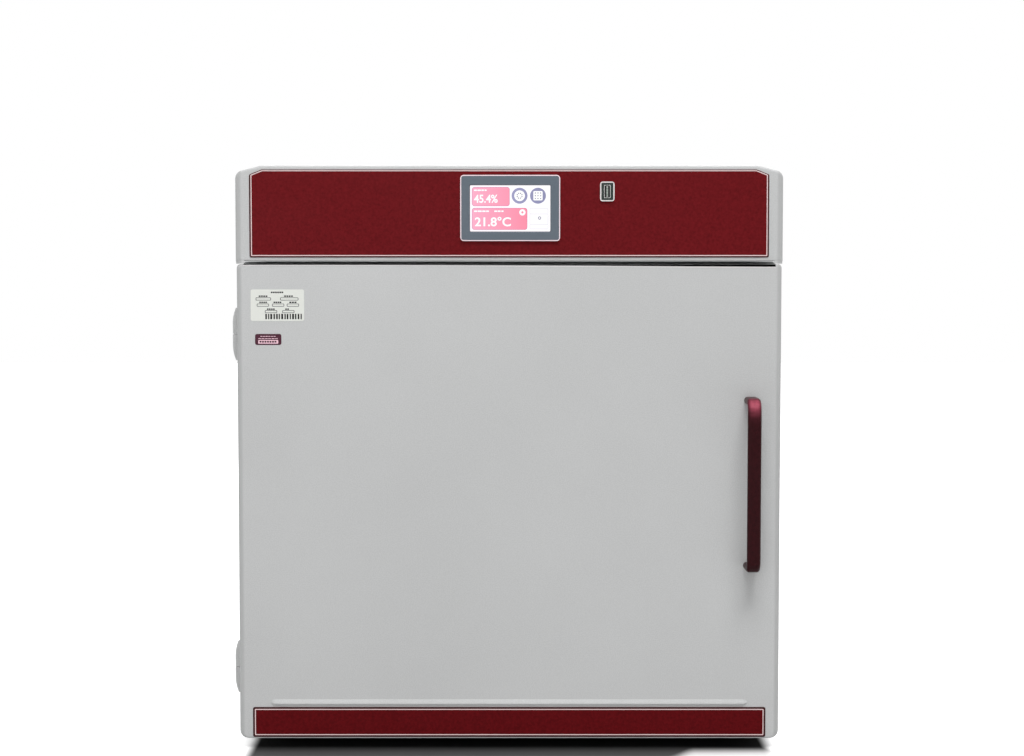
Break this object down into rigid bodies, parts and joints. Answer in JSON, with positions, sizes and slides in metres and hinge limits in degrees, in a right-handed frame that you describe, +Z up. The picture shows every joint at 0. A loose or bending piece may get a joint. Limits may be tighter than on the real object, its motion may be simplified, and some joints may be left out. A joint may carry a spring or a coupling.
{
  "type": "refrigerated incubator",
  "caption": "Benchtop refrigerated incubator: insulated steel cabinet, side-hinged solid door with a bar handle, control hood with touch screen, wire shelves, fans and cooling circuit.",
  "frame": {"origin": "centre of the footprint of the whole object, on the plane its feet stand on", "axes": "+Z up, the door and the control panel face -Y, the hinges are on the -X side"},
  "size_m": [0.6636, 0.6542, 0.701],
  "materials": {
    "grey_paint": "light grey textured powder coat",
    "red_film": "deep red printed film with a pale pinstripe",
    "maroon_coat": "dark maroon gloss coat",
    "stainless": "brushed stainless steel",
    "galvanised": "zinc-coated sheet",
    "supply_case": "plain sheet",
    "coil_fins": "bare fins",
    "copper": "drawn copper tube",
    "compressor_black": "black enamel",
    "black_plastic": "fine matte",
    "white_plastic": "smooth",
    "slate_plastic": "fine matte",
    "light_plastic": "satin",
    "lit_glass": "lit display under a clear touch sheet",
    "board_green": "solder mask",
    "rubber": "matte",
    "foam": "rigid foam"
  },
  "bodies": {
    "cabinet": {"outer_cabinet": "grey_paint", "rear_panel": "grey_paint", "control_hood": "grey_paint", "hinge_upper_cabinet_half": "grey_paint", "hinge_lower_cabinet_half": "grey_paint", "head_film": "red_film", "inner_chamber": "stainless", "rear_baffle": "stainless", "shelf_ladder_left": "stainless", "shelf_ladder_right": "stainless", "air_heater": "stainless", "temperature_probe": "stainless", "data_socket": "stainless", "machine_bulkhead": "galvanised", "hood_tray": "galvanised", "compressor_carrier": "galvanised", "circulation_motor": "galvanised", "power_supply": "supply_case", "condenser": "coil_fins", "evaporator": "coil_fins", "drip_tray": "coil_fins", "discharge_line": "copper", "suction_line": "copper", "filter_drier": "copper", "capillary_tube": "copper", "compressor": "compressor_black", "fan_guard": "black_plastic", "condenser_fan_frame": "black_plastic", "mains_inlet": "black_plastic", "door_switch": "black_plastic", "display_module": "black_plastic", "humidity_sensor": "black_plastic", "front_collar": "white_plastic", "touch_bezel": "slate_plastic", "socket_bezel": "light_plastic", "touch_screen": "lit_glass", "control_board": "board_green", "foot_front_left": "rubber", "foot_front_right": "rubber", "foot_rear_left": "rubber", "foot_rear_right": "rubber", "cabinet_insulation": "foam"},
    "door": {"door_skin": "grey_paint", "door_insulation": "foam", "door_liner": "white_plastic", "door_gasket": "rubber", "door_handle": "maroon_coat", "foot_film": "red_film", "hinge_upper_door_half": "grey_paint", "hinge_lower_door_half": "grey_paint"},
    "wire_shelf_upper": {"wire_shelf_upper": "stainless"},
    "wire_shelf_lower": {"wire_shelf_lower": "stainless"},
    "impeller": {"circulation_impeller": "white_plastic"},
    "fan_rotor": {"condenser_fan_rotor": "black_plastic"},
    "rocker": {"power_rocker": "black_plastic"},
    "plunger": {"door_plunger": "white_plastic"}
  },
  "joints": [
    {"name": "door_hinge", "type": "hinge", "parent": "cabinet", "child": "door", "pos_m": [-0.32565, -0.23005, 0.294], "axis": [0, 0, -1], "range_deg": [0, 170]},
    {"name": "upper_shelf_slide", "type": "slide", "parent": "cabinet", "child": "wire_shelf_upper", "axis": [0, -1, 0], "range_m": [0, 0.029]},
    {"name": "lower_shelf_slide", "type": "slide", "parent": "cabinet", "child": "wire_shelf_lower", "axis": [0, -1, 0], "range_m": [0, 0.029]},
    {"name": "impeller_spin", "type": "hinge", "parent": "cabinet", "child": "impeller", "pos_m": [0.00585, 0.10295, 0.2995], "axis": [0, 1, 0], "continuous": true},
    {"name": "fan_rotor_spin", "type": "hinge", "parent": "cabinet", "child": "fan_rotor", "pos_m": [0.15585, 0.30795, 0.1278], "axis": [0, 1, 0], "continuous": true},
    {"name": "rocker_pivot", "type": "hinge", "parent": "cabinet", "child": "rocker", "pos_m": [-0.25615, 0.32155, 0.1555], "axis": [-1, 0, 0], "range_deg": [0, 14]},
    {"name": "plunger_slide", "type": "slide", "parent": "cabinet", "child": "plunger", "axis": [0, -1, 0], "range_m": [0, 0.006]}
  ],
  "couplings": [
    {"joint": "plunger_slide", "follows": "door_hinge", "m_per_rad": 0.00202}
  ]
}
